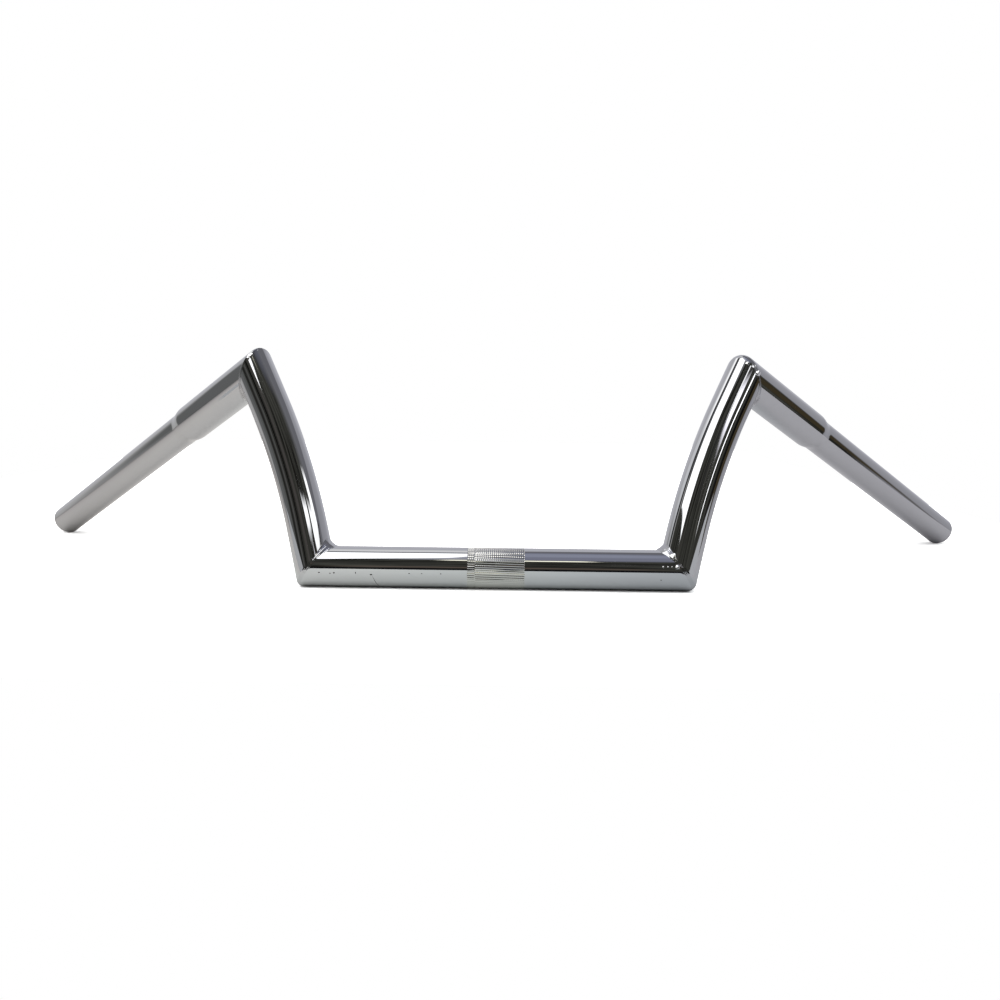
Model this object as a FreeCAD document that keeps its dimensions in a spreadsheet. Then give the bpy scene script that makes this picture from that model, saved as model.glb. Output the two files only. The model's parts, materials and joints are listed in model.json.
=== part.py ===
import FreeCAD, Part
import math
import os

import Sketcher
from FreeCAD import Placement, Rotation, Vector

# A chromed moped handlebar: five steel tubes, mitred and welded into a squared-off Z shape.
# Millimetres and degrees. X runs along the centre tube to the rider's side marked right in the
# names, Y runs back towards the grip ends, Z is up. The origin is the middle of the centre tube.
# The bar lies as it comes to rest: on its centre tube and on the rims of both grip ends.

SIZES = (
    ("tube_od", 25.0, "outside diameter of the main tube"),
    ("tube_wall", 2.0, "wall of the main tube"),
    ("grip_od", 22.2, "outside diameter of the swaged grip end"),
    ("grip_wall", 2.0, "wall of the swaged grip end"),
    ("corner_half_span", 111.0, "middle of the bar to a lower corner, along the axis"),
    ("riser_height", 125.0, "lower to upper corner, measured up the leaning riser plane"),
    ("riser_spread", 45.0, "lower to upper corner, measured outwards"),
    ("riser_lean", 20.0, "angle of the riser plane behind the vertical"),
    ("riser_bend", 11.0, "angle that a riser turns outwards along its length"),
    ("riser_straight", 20.0, "straight stretch at each end of a riser"),
    ("grip_length", 290.0, "upper corner to the end of a grip, along the axis"),
    ("grip_sweep", 40.0, "angle that a grip is swept back, seen from above"),
    ("swage_start", 81.5, "upper corner to the start of the swaged shoulder"),
    ("swage_length", 10.5, "length of the swaged shoulder"),
    ("rim_chamfer", 0.8, "chamfer on the rim at a grip end"),
    ("grind_radius", 4.0, "radius that the tip of each corner is ground to"),
    ("grind_blend", 8.0, "angle at which a ground tip runs out on a tube"),
    ("weld_radius", 9.0, "radius across the face of a weld"),
    ("weld_throat", 2.3, "height of a weld over the sharp inside corner"),
    ("knurl_wide", 29.8, "width of the wide knurled band"),
    ("knurl_narrow", 4.4, "width of the narrow knurled band"),
    ("knurl_land", 0.3, "plain ring between the two knurled bands"),
    ("knurl_teeth", 56, "teeth around each knurled band"),
    ("knurl_depth", 0.35, "depth of a knurl groove"),
    ("knurl_mouth", 0.7, "width of a knurl groove at the tube's surface"),
    ("knurl_overcut", 0.2, "height that a groove's cutter stands above the tube's surface"),
    ("cutter_span", 100.0, "span of the blocks that trim the tube ends"),
)

NODES = (
    "centre_tube",
    "left_riser",
    "right_riser",
    "left_grip_tube",
    "right_grip_tube",
    "lower_left_weld",
    "lower_right_weld",
    "upper_left_weld",
    "upper_right_weld",
)

ORIGIN_POINT = (-1, 1)


def start_of(edge):
    """Sketch reference to the point where an edge starts."""
    return edge, 1


def end_of(edge):
    """Sketch reference to the point where an edge ends."""
    return edge, 2


def centre_of(circle):
    """Sketch reference to the centre of a circle."""
    return circle, 3


def make_sheet(doc):
    """Put the driving sizes into a sheet, one alias to a row."""
    sheet = doc.addObject("Spreadsheet::Sheet", "Sizes")
    for row, (alias, value, note) in enumerate(SIZES, start=1):
        sheet.set(f"A{row}", note)
        sheet.set(f"B{row}", str(value))
        sheet.setAlias(f"B{row}", alias)
    doc.recompute()
    return sheet


class Corner:
    """The place where one tube ends in a mitre and the next begins.

    Along is the way the first tube runs into the corner, onward the way the next one leaves it.
    The frame's X runs through the mitre plane, its Z points to the outer tip of the corner.
    """

    def __init__(self, point, along, onward):
        self.point = point
        self.along = along
        self.onward = onward
        self.turn = along.getAngle(onward)
        through = (along + onward).normalize()
        outward = (along - onward).normalize()
        self.outward = outward
        self.frame = Placement(point, Rotation(through, outward.cross(through), outward, "ZXY"))


class Skeleton:
    """Corner points and directions of the right-hand half, worked out from the sheet."""

    def __init__(self, sheet):
        lean = math.radians(sheet.riser_lean)
        bend = math.radians(sheet.riser_bend)
        sweep = math.radians(sheet.grip_sweep)
        self.outwards = Vector(1, 0, 0)
        self.upwards = Vector(0, math.sin(lean), math.cos(lean))

        chord_angle = math.atan2(sheet.riser_spread, sheet.riser_height)
        self.riser_foot = self.in_riser_plane(chord_angle - bend / 2)
        self.riser_head = self.in_riser_plane(chord_angle + bend / 2)
        lower = Vector(sheet.corner_half_span, 0, 0)
        upper = lower + self.outwards * sheet.riser_spread + self.upwards * sheet.riser_height

        # The grip dives until its rim, at the foot of the chamfer, touches the plane that the
        # centre tube lies on.
        rim_reach = sheet.grip_length - sheet.rim_chamfer
        rim_radius = sheet.grip_od / 2
        fall = upper.z + sheet.tube_od / 2
        dive = math.asin(fall / math.hypot(rim_reach, rim_radius)) - math.atan2(rim_radius, rim_reach)
        self.grip_axis = Vector(
            math.cos(dive) * math.cos(sweep),
            math.cos(dive) * math.sin(sweep),
            -math.sin(dive),
        )
        self.lower_corner = Corner(lower, self.outwards, self.riser_foot)
        self.upper_corner = Corner(upper, self.riser_head, self.grip_axis)

    def in_riser_plane(self, angle):
        """Direction in the riser plane, at an angle from straight up towards the outside."""
        return self.outwards * math.sin(angle) + self.upwards * math.cos(angle)


def origin_feature(body, role):
    """One of a body's own origin planes or axes."""
    return next(item for item in body.Origin.OriginFeatures if item.Role == role)


def new_sketch(body, name, plane):
    """An empty sketch on one of the body's own origin planes."""
    sketch = body.newObject("Sketcher::SketchObject", name)
    sketch.AttachmentSupport = (origin_feature(body, plane), [""])
    sketch.MapMode = "FlatFace"
    return sketch


def bind(sketch, expression, kind, *arguments):
    """Add a dimension to a sketch and tie it to the sheet."""
    index = sketch.addConstraint(Sketcher.Constraint(kind, *arguments))
    sketch.setExpression(f"Constraints[{index}]", expression)


def bind_point(sketch, point, x, y):
    """Tie both coordinates of a point; x and y are pairs of a present value and an expression."""
    bind(sketch, x[1], "DistanceX", *ORIGIN_POINT, *point, x[0])
    bind(sketch, y[1], "DistanceY", *ORIGIN_POINT, *point, y[0])


def ring_sketch(body, name, plane, sheet):
    """The main tube's section: two circles about the plane's origin."""
    sketch = new_sketch(body, name, plane)
    outer_radius = sheet.tube_od / 2
    inner_radius = outer_radius - sheet.tube_wall
    expressions = ("Sizes.tube_od / 2", "Sizes.tube_od / 2 - Sizes.tube_wall")
    for radius, expression in zip((outer_radius, inner_radius), expressions):
        circle = sketch.addGeometry(Part.Circle(Vector(), Vector(0, 0, 1), radius), False)
        sketch.addConstraint(Sketcher.Constraint("Coincident", *centre_of(circle), *ORIGIN_POINT))
        bind(sketch, expression, "Radius", circle, radius)
    return sketch


def knurl_band(body, sheet, name, start, width_expression, turn_expression):
    """Straight grooves around the centre tube: one V-shaped cut, repeated around the axis.

    Start is a pair of a present value and an expression.
    """
    radius = sheet.tube_od / 2
    root = radius - sheet.knurl_depth
    crest = radius + sheet.knurl_overcut
    half_width = sheet.knurl_mouth / 2 * (crest - root) / sheet.knurl_depth
    half_width_expression = (
        "Sizes.knurl_mouth / 2 * (Sizes.knurl_depth + Sizes.knurl_overcut) / Sizes.knurl_depth"
    )
    root_height = (root, "Sizes.tube_od / 2 - Sizes.knurl_depth")
    crest_height = (crest, "Sizes.tube_od / 2 + Sizes.knurl_overcut")
    right_flank = (half_width, half_width_expression)
    left_flank = (-half_width, f"-({half_width_expression})")

    sketch = new_sketch(body, f"{name}_groove_section", "YZ_Plane")
    sketch.AttachmentOffset = Placement(Vector(0, 0, start[0]), Rotation(Vector(0, 0, 1), 1))
    sketch.setExpression("AttachmentOffset.Base.z", start[1])
    sketch.setExpression("AttachmentOffset.Rotation.Angle", turn_expression)
    corners = (Vector(0, root, 0), Vector(half_width, crest, 0), Vector(-half_width, crest, 0))
    edges = [
        sketch.addGeometry(Part.LineSegment(corners[i - 1], corners[i]), False) for i in range(3)
    ]
    for i, edge in enumerate(edges):
        before = edges[i - 1]
        sketch.addConstraint(Sketcher.Constraint("Coincident", *end_of(before), *start_of(edge)))
    bind_point(sketch, end_of(edges[0]), (0, "0"), root_height)
    bind_point(sketch, end_of(edges[1]), right_flank, crest_height)
    bind_point(sketch, end_of(edges[2]), left_flank, crest_height)

    groove = body.newObject("PartDesign::Pocket", f"{name}_groove")
    groove.Profile = sketch
    groove.Reversed = True
    groove.setExpression("Length", width_expression)
    pattern = body.newObject("PartDesign::PolarPattern", f"{name}_grooves")
    pattern.Originals = [groove]
    pattern.Axis = (origin_feature(body, "X_Axis"), [""])
    pattern.Angle = 360
    pattern.setExpression("Occurrences", "Sizes.knurl_teeth")
    body.Tip = pattern


def centre_tube_blank(doc, sheet):
    """The clamp tube before its ends are mitred: a straight tube with two knurled bands."""
    body = doc.addObject("PartDesign::Body", "centre_tube_blank")
    tube = body.newObject("PartDesign::Pad", "centre_tube_pad")
    tube.Profile = ring_sketch(body, "centre_tube_section", "YZ_Plane", sheet)
    tube.SideType = "Symmetric"
    tube.setExpression("Length", "2 * (Sizes.corner_half_span + Sizes.tube_od)")
    doc.recompute()
    plain_volume = body.Shape.Volume

    start = -(sheet.knurl_narrow + sheet.knurl_land + sheet.knurl_wide) / 2
    start_text = "-(Sizes.knurl_narrow + Sizes.knurl_land + Sizes.knurl_wide) / 2"
    knurl_band(body, sheet, "narrow_knurl", (start, start_text), "Sizes.knurl_narrow", "0 deg")
    start += sheet.knurl_narrow + sheet.knurl_land
    start_text += " + Sizes.knurl_narrow + Sizes.knurl_land"
    half_tooth = "180 deg / Sizes.knurl_teeth"
    knurl_band(body, sheet, "wide_knurl", (start, start_text), "Sizes.knurl_wide", half_tooth)
    doc.recompute()
    if body.Shape.Volume >= plain_volume:
        raise RuntimeError("the knurl grooves cut nothing")
    return body


def riser_blank(doc, sheet, skeleton):
    """A riser before its ends are mitred: straight, gently bent outwards, straight."""
    body = doc.addObject("PartDesign::Body", "riser_blank")
    bend = math.radians(sheet.riser_bend)
    chord = math.hypot(sheet.riser_spread, sheet.riser_height)
    radius = (chord - 2 * sheet.riser_straight * math.cos(bend / 2)) / (2 * math.sin(bend / 2))
    run = sheet.riser_straight + sheet.tube_od
    run_expression = "Sizes.riser_straight + Sizes.tube_od"
    radius_expression = (
        "(sqrt(Sizes.riser_spread^2 + Sizes.riser_height^2)"
        " - 2 * Sizes.riser_straight * cos(Sizes.riser_bend * 0.5 deg))"
        " / (2 * sin(Sizes.riser_bend * 0.5 deg))"
    )
    bend_start = Vector(0, run, 0)
    bend_centre = Vector(radius, run, 0)
    bend_end = bend_centre + Vector(-radius * math.cos(bend), radius * math.sin(bend), 0)
    head_end = bend_end + Vector(run * math.sin(bend), run * math.cos(bend), 0)

    path = new_sketch(body, "riser_path", "XZ_Plane")
    foot = path.addGeometry(Part.LineSegment(Vector(), bend_start), False)
    circle = Part.Circle(bend_centre, Vector(0, 0, 1), radius)
    arc = path.addGeometry(Part.ArcOfCircle(circle, math.pi - bend, math.pi), False)
    head = path.addGeometry(Part.LineSegment(bend_end, head_end), False)
    path.addConstraint(Sketcher.Constraint("Coincident", *start_of(foot), *ORIGIN_POINT))
    path.addConstraint(Sketcher.Constraint("Vertical", foot))
    path.addConstraint(Sketcher.Constraint("Tangent", *end_of(foot), *end_of(arc)))
    path.addConstraint(Sketcher.Constraint("Tangent", *start_of(head), *start_of(arc)))
    bind(path, run_expression, "Distance", foot, run)
    bind(path, run_expression, "Distance", head, run)
    bind(path, radius_expression, "Radius", arc, radius)
    bind(path, "90 deg - Sizes.riser_bend * 1 deg", "Angle", head, math.pi / 2 - bend)

    pipe = body.newObject("PartDesign::AdditivePipe", "riser_pipe")
    pipe.Profile = ring_sketch(body, "riser_section", "XY_Plane", sheet)
    pipe.Spine = (path, ["Edge1", "Edge2", "Edge3"])
    foot_axis = skeleton.riser_foot
    front = foot_axis.cross(skeleton.outwards).normalize()
    side = front.cross(foot_axis)
    start = skeleton.lower_corner.point - foot_axis * sheet.tube_od
    body.Placement = Placement(start, Rotation(side, front, foot_axis, "ZXY"))
    return body


def grip_blank(doc, sheet, skeleton):
    """A grip tube before its mitre: a turned profile with the thinner, swaged end for the grip."""
    body = doc.addObject("PartDesign::Body", "grip_blank")
    tube_radius = sheet.tube_od / 2
    grip_radius = sheet.grip_od / 2
    tube_bore = tube_radius - sheet.tube_wall
    grip_bore = grip_radius - sheet.grip_wall
    stub = -sheet.tube_od
    shoulder = sheet.swage_start
    neck = shoulder + sheet.swage_length
    end = sheet.grip_length
    chamfer_foot = end - sheet.rim_chamfer
    face_radius = grip_radius - sheet.rim_chamfer

    # Both radii of an S-shaped shoulder are equal, which puts its inflection half-way.
    def shoulder_arcs(wide, narrow):
        drop = wide - narrow
        radius = (sheet.swage_length ** 2 + drop ** 2) / (4 * drop)
        half_angle = math.asin(sheet.swage_length / (2 * radius))
        convex = Part.Circle(Vector(wide - radius, shoulder, 0), Vector(0, 0, 1), radius)
        hollow = Part.Circle(Vector(narrow + radius, neck, 0), Vector(0, 0, 1), radius)
        return (
            Part.ArcOfCircle(convex, 0, half_angle),
            Part.ArcOfCircle(hollow, math.pi, math.pi + half_angle),
        )

    def line(x0, y0, x1, y1):
        return Part.LineSegment(Vector(x0, y0, 0), Vector(x1, y1, 0))

    outer_convex, outer_hollow = shoulder_arcs(tube_radius, grip_radius)
    inner_convex, inner_hollow = shoulder_arcs(tube_bore, grip_bore)

    profile = new_sketch(body, "grip_profile", "XZ_Plane")
    outer_tube = profile.addGeometry(line(tube_radius, stub, tube_radius, shoulder), False)
    convex = profile.addGeometry(outer_convex, False)
    hollow = profile.addGeometry(outer_hollow, False)
    outer_grip = profile.addGeometry(line(grip_radius, neck, grip_radius, chamfer_foot), False)
    chamfer = profile.addGeometry(line(grip_radius, chamfer_foot, face_radius, end), False)
    end_face = profile.addGeometry(line(face_radius, end, grip_bore, end), False)
    inner_grip = profile.addGeometry(line(grip_bore, end, grip_bore, neck), False)
    bore_hollow = profile.addGeometry(inner_hollow, False)
    bore_convex = profile.addGeometry(inner_convex, False)
    inner_tube = profile.addGeometry(line(tube_bore, shoulder, tube_bore, stub), False)
    stub_face = profile.addGeometry(line(tube_bore, stub, tube_radius, stub), False)

    smooth_joints = (
        (end_of(outer_tube), start_of(convex)),
        (end_of(convex), end_of(hollow)),
        (start_of(hollow), start_of(outer_grip)),
        (end_of(inner_grip), start_of(bore_hollow)),
        (end_of(bore_hollow), end_of(bore_convex)),
        (start_of(bore_convex), start_of(inner_tube)),
    )
    sharp_joints = (
        (end_of(outer_grip), start_of(chamfer)),
        (end_of(chamfer), start_of(end_face)),
        (end_of(end_face), start_of(inner_grip)),
        (end_of(inner_tube), start_of(stub_face)),
        (end_of(stub_face), start_of(outer_tube)),
    )
    for here, there in smooth_joints:
        profile.addConstraint(Sketcher.Constraint("Tangent", *here, *there))
    for here, there in sharp_joints:
        profile.addConstraint(Sketcher.Constraint("Coincident", *here, *there))
    for edge in (outer_tube, outer_grip, inner_grip, inner_tube):
        profile.addConstraint(Sketcher.Constraint("Vertical", edge))
    for edge in (end_face, stub_face):
        profile.addConstraint(Sketcher.Constraint("Horizontal", edge))
    tube_radius_text = "Sizes.tube_od / 2"
    grip_radius_text = "Sizes.grip_od / 2"
    neck_text = "Sizes.swage_start + Sizes.swage_length"
    for point, radius, text in (
        (start_of(outer_tube), tube_radius, tube_radius_text),
        (start_of(outer_grip), grip_radius, grip_radius_text),
        (end_of(chamfer), face_radius, f"{grip_radius_text} - Sizes.rim_chamfer"),
        (end_of(inner_grip), grip_bore, f"{grip_radius_text} - Sizes.grip_wall"),
        (start_of(inner_tube), tube_bore, f"{tube_radius_text} - Sizes.tube_wall"),
    ):
        bind(profile, text, "DistanceX", *ORIGIN_POINT, *point, radius)
    for point, height, text in (
        (end_of(outer_tube), shoulder, "Sizes.swage_start"),
        (start_of(inner_tube), shoulder, "Sizes.swage_start"),
        (start_of(outer_grip), neck, neck_text),
        (end_of(inner_grip), neck, neck_text),
        (start_of(chamfer), chamfer_foot, "Sizes.grip_length - Sizes.rim_chamfer"),
        (start_of(end_face), end, "Sizes.grip_length"),
        (start_of(stub_face), stub, "-Sizes.tube_od"),
    ):
        bind(profile, text, "DistanceY", *ORIGIN_POINT, *point, height)

    turned = body.newObject("PartDesign::Revolution", "grip_turned")
    turned.Profile = profile
    turned.ReferenceAxis = (profile, ["V_Axis"])
    turned.Angle = 360
    corner = skeleton.upper_corner
    body.Placement = Placement(corner.point, Rotation(Vector(0, 0, 1), corner.onward))
    return body


def cutter_box(doc, name, corner, side):
    """A block whose face is the corner's mitre plane; side is +1 beyond it and -1 before it."""
    box = doc.addObject("Part::Box", name)
    for edge in ("Length", "Width", "Height"):
        box.setExpression(edge, "Sizes.cutter_span")
    doc.recompute()
    span = box.Length.Value
    start = 0 if side > 0 else -span
    box.Placement = corner.frame * Placement(Vector(start, -span / 2, -span / 2), Rotation())
    return box


def tip_cutter(doc, name, sheet, corner):
    """What is ground off the outer tip of a corner: a block with a hollow, rounded underside."""
    half_turn = corner.turn / 2
    radius = sheet.grind_radius
    run_out = half_turn - math.radians(sheet.grind_blend)
    sharp_tip = sheet.tube_od / 2 / math.cos(half_turn)
    ground_tip = sharp_tip - radius * (math.sin(run_out) * math.tan(half_turn) - 1 + math.cos(run_out))

    block = doc.addObject("Part::Box", f"{name}_block")
    block.Length = 2 * radius * math.sin(half_turn)
    block.setExpression("Width", "Sizes.cutter_span / 2")
    block.setExpression("Height", "Sizes.tube_od")
    drum = doc.addObject("Part::Cylinder", f"{name}_drum")
    drum.setExpression("Radius", "Sizes.grind_radius")
    drum.setExpression("Height", "Sizes.cutter_span")
    doc.recompute()
    drum_height = ground_tip - radius
    corner_of_block = Vector(-block.Length.Value / 2, -block.Width.Value / 2, drum_height)
    block.Placement = corner.frame * Placement(corner_of_block, Rotation())
    end_of_drum = Vector(0, drum.Height.Value / 2, drum_height)
    drum.Placement = corner.frame * Placement(end_of_drum, Rotation(Vector(1, 0, 0), 90))
    return boolean(doc, "Part::Cut", name, block, drum)


def boolean(doc, kind, name, base, tool):
    """One Part boolean of two objects."""
    result = doc.addObject(kind, name)
    result.Base = base
    result.Tool = tool
    return result


def fused(doc, name, shapes):
    """Several objects as one tool."""
    result = doc.addObject("Part::MultiFuse", name)
    result.Shapes = shapes
    return result


def mirrored(doc, name, source):
    """The left-hand copy of a right-hand object, across the middle plane of the bar."""
    copy = doc.addObject("Part::Mirroring", name)
    copy.Source = source
    copy.Normal = Vector(1, 0, 0)
    copy.Base = Vector()
    return copy


def solid_rod(doc, name, start, direction, length):
    """A solid rod of the tube's own diameter, used to clear a weld off the tubes it joins."""
    rod = doc.addObject("Part::Cylinder", name)
    rod.setExpression("Radius", "Sizes.tube_od / 2")
    rod.Height = length
    rod.Placement = Placement(start, Rotation(Vector(0, 0, 1), direction))
    return rod


def inside_weld(doc, name, sheet, corner):
    """The dressed weld in a corner: a bead laid across the mitre, less the two tubes it joins."""
    half_turn = corner.turn / 2
    past_corner = sheet.tube_od / 2 * math.tan(half_turn)
    sharp_corner = sheet.tube_od / 2 / math.cos(half_turn)
    inset = sharp_corner + sheet.weld_throat - sheet.weld_radius

    bead = doc.addObject("Part::Cylinder", f"{name}_bead")
    bead.setExpression("Radius", "Sizes.weld_radius")
    bead.setExpression("Height", "Sizes.tube_od")
    doc.recompute()
    bead_start = Vector(-bead.Height.Value / 2, 0, -inset)
    bead.Placement = corner.frame * Placement(bead_start, Rotation(Vector(0, 1, 0), 90))

    length = past_corner + 2 * sheet.tube_od
    start_along = corner.point + corner.along * past_corner
    start_onward = corner.point - corner.onward * past_corner
    rods = (
        solid_rod(doc, f"{name}_rod_along", start_along, corner.along * -1, length),
        solid_rod(doc, f"{name}_rod_onward", start_onward, corner.onward, length),
    )
    return boolean(doc, "Part::Cut", name, bead, fused(doc, f"{name}_rods", list(rods)))


def build(doc):
    """Build every sub-part of the bar in the document."""
    sheet = make_sheet(doc)
    skeleton = Skeleton(sheet)
    lower = skeleton.lower_corner
    upper = skeleton.upper_corner

    lower_tip = tip_cutter(doc, "lower_tip", sheet, lower)
    upper_tip = tip_cutter(doc, "upper_tip", sheet, upper)
    centre_end = fused(doc, "centre_end", [cutter_box(doc, "centre_mitre", lower, 1), lower_tip])
    centre_ends = fused(doc, "centre_ends", [centre_end, mirrored(doc, "centre_end_left", centre_end)])
    boolean(doc, "Part::Cut", "centre_tube", centre_tube_blank(doc, sheet), centre_ends)

    riser_foot = cutter_box(doc, "riser_foot_mitre", lower, -1)
    riser_head = cutter_box(doc, "riser_head_mitre", upper, 1)
    riser_ends = fused(doc, "riser_ends", [riser_foot, lower_tip, riser_head, upper_tip])
    riser = boolean(doc, "Part::Cut", "right_riser", riser_blank(doc, sheet, skeleton), riser_ends)

    grip_end = fused(doc, "grip_end", [cutter_box(doc, "grip_mitre", upper, -1), upper_tip])
    grip = boolean(doc, "Part::Cut", "right_grip_tube", grip_blank(doc, sheet, skeleton), grip_end)

    lower_weld = inside_weld(doc, "lower_right_weld", sheet, lower)
    upper_weld = inside_weld(doc, "upper_right_weld", sheet, upper)

    mirrored(doc, "left_riser", riser)
    mirrored(doc, "left_grip_tube", grip)
    mirrored(doc, "lower_left_weld", lower_weld)
    mirrored(doc, "upper_left_weld", upper_weld)
    doc.recompute()


def checked_solid(doc, node):
    """The one valid solid of a sub-part."""
    shape = doc.getObject(node).Shape
    if shape.isNull() or not shape.isValid() or len(shape.Solids) != 1:
        raise RuntimeError(f"{node} is not one valid solid")
    return shape.Solids[0]


def main():
    doc = FreeCAD.newDocument("moped_handlebar")
    build(doc)
    for item in doc.Objects:
        if "Invalid" in item.State or "Error" in item.State:
            raise RuntimeError(f"{item.Name} failed: {item.State}")
    solids = {node: checked_solid(doc, node) for node in NODES}
    os.makedirs("parts", exist_ok=True)
    for node, solid in solids.items():
        solid.exportStep(f"parts/{node}.step")
        print(f"{node}: {solid.Volume:.1f} mm3")


main()
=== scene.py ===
import json
import math

import bpy
import numpy as np
from bpy.props import FloatProperty, FloatVectorProperty, IntProperty, PointerProperty
from bpy.types import Operator, Panel, PropertyGroup
from mathutils import Matrix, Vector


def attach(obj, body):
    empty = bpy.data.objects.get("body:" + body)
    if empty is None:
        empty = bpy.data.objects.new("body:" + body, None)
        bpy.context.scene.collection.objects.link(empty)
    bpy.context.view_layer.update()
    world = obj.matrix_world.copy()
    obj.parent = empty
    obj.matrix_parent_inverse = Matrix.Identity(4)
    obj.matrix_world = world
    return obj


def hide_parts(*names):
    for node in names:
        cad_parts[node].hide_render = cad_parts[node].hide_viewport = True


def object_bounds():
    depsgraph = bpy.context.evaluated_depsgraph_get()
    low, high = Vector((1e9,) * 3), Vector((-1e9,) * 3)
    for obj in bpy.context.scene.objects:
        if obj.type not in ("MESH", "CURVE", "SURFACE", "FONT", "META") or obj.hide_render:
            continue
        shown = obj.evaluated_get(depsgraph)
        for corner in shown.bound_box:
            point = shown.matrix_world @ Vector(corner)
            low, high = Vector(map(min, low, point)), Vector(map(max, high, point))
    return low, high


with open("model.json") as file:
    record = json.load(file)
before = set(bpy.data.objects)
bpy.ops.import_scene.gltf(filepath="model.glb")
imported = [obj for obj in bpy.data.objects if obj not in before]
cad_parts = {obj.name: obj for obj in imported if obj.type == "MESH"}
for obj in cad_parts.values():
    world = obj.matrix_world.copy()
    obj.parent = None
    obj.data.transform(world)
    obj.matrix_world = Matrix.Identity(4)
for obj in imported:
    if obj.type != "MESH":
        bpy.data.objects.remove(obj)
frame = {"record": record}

CAD_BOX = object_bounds()
MOUNTS = {mount["name"]: mount for mount in frame["record"]["mounts"]}
MM = 0.001

bl_info = {
    "name": "Chromed moped handlebar",
    "version": (1, 0, 0),
    "blender": (4, 5, 0),
    "location": "3D View > Sidebar > Handlebar",
    "description": "Plated tubes, dressed welds and a knurled clamp band around the packed solids",
    "category": "Add Mesh",
}

AROUND = 192          # points around a plated tube
KNURL_STEPS = 10      # points across one knurl tooth
KNURL_RINGS = 170     # rings along the knurled band
SEAM_SECTION = 33     # points across a weld
BEAD_RINGS = 12       # rings of a bead of spatter
BEAD_AROUND = 24      # points around a bead of spatter
PAPER_GRID = 25       # points along each side of the paper

# distances back from a seam where rings lie: close together at the ground tip, wider further on
MITRE_BACKS = np.concatenate((np.linspace(0.0, 4.0, 17), np.linspace(5.0, 18.0, 8))) * MM

# where a tube's plain rings begin, measured from a corner and clear of its mitre
CENTRE_CLEAR = 29.0 * MM
RISER_CLEAR = 29.5 * MM
GRIP_CLEAR = 30.5 * MM

KNURL_CREST = 0.6         # flat share of a knurl tooth
RIM_WALK = 1.5 * MM       # way across the rim of a grip end to where the plate stops
BEAD_SKIRT = 1.8          # depth of a bead's skirt in the plate, in radii
PAPER_LIFT = 2.8          # brightening of the paper where the camera sees it
PAPER_MIRRORED = 0.6      # brightness of the paper where reflections see it

# painted shadow: the dark line on the paper under the centre tube that reflections see: tone, half width,
# half length, fades
CONTACT_SHADOW_TONE = 0.02
CONTACT_HALF = 3.0 * MM
CONTACT_FADE = 3.5 * MM
CONTACT_REACH = 112.0 * MM
CONTACT_END_FADE = 6.0 * MM

LEFT_FLIP = np.array((-1.0, 1.0, 1.0))


def length(name, description, millimetres):
    """A length in metres, written in millimetres."""
    return FloatProperty(name=name, description=description, default=millimetres * MM, unit="LENGTH",
                         precision=5)


def angle(name, description, degrees):
    """An angle in radians, written in degrees."""
    return FloatProperty(name=name, description=description, default=math.radians(degrees),
                         unit="ROTATION")


def colour(name, description, rgb):
    """A linear colour."""
    return FloatVectorProperty(name=name, description=description, default=rgb, size=3, min=0.0,
                               soft_max=1.0, subtype="COLOR")


def factor(name, description, value):
    """A plain factor."""
    return FloatProperty(name=name, description=description, default=value, min=0.0, subtype="FACTOR",
                         soft_max=1.0)


class BarSizes(PropertyGroup):
    """Sizes of the bar's tubes, corners and knurl."""

    tube_radius: length("Tube radius", "Outside radius of the main tube",
                        MOUNTS["stem_clamp"]["dims"]["r_mm"])
    grip_radius: length("Grip radius", "Outside radius of the swaged grip end",
                        MOUNTS["right_grip_seat"]["dims"]["r_mm"])
    grip_bore: length("Grip bore", "Bore radius of the swaged grip end",
                      MOUNTS["right_bar_end_bore"]["dims"]["r_mm"])
    corner_half_span: length("Corner half span", "Middle of the bar to a lower corner", 111.0)
    riser_height: length("Riser height", "Lower to upper corner, up the leaning riser plane", 125.0)
    riser_spread: length("Riser spread", "Lower to upper corner, outwards", 45.0)
    riser_lean: angle("Riser lean", "Riser plane behind the vertical", 20.0)
    riser_bend: angle("Riser bend", "Turn of a riser along its length", 11.0)
    riser_straight: length("Riser straight", "Straight stretch at each end of a riser", 20.0)
    grip_length: length("Grip length", "Upper corner to the end of a grip", 290.0)
    swage_start: length("Swage start", "Upper corner to the swaged shoulder", 81.5)
    swage_length: length("Swage length", "Length of the swaged shoulder", 10.5)
    rim_round: length("Rim round", "Rounding of the rim at a grip end", 0.6)
    bore_depth: length("Bore depth", "Depth to which an open grip end is modelled", 120.0)
    grind_lower_right: length("Lower right grind", "Width ground round at the lower right tip", 3.2)
    grind_lower_left: length("Lower left grind", "Width ground round at the lower left tip", 2.2)
    grind_upper_right: length("Upper right grind", "Width ground round at the upper right tip", 3.0)
    grind_upper_left: length("Upper left grind", "Width ground round at the upper left tip", 0.4)
    weld_width: length("Weld width", "Half width of a dressed weld around a corner", 1.5)
    weld_bead: length("Weld bead", "Height left on a dressed weld", 0.06)
    weld_pitch: length("Weld pitch", "Distance between the marks of dressing along a weld", 1.1)
    weld_sink: length("Weld sink", "Depth of a weld's edges under the plate", 0.03)
    weld_root: length("Weld root", "Depth of a weld's underside under the plate", 0.5)
    knurl_wide: length("Wide knurl", "Width of the wide knurled band", 29.8)
    knurl_narrow: length("Narrow knurl", "Width of the narrow knurled band", 4.4)
    knurl_land: length("Knurl land", "Plain ring between the knurled bands", 0.3)
    knurl_depth: length("Knurl depth", "Depth of a knurl groove", 0.23)
    knurl_seat: length("Knurl seat", "Depth of the seat under the knurled band", 0.7)
    knurl_teeth: IntProperty(name="Knurl teeth", description="Teeth around the band", default=56)
    knurl_tilt: angle("Knurl tilt", "Lead of the knurl grooves to the axis", 1.4)
    knurl_cross: length("Knurl cross", "Pitch of the marks across the knurl", 1.25)


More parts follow.
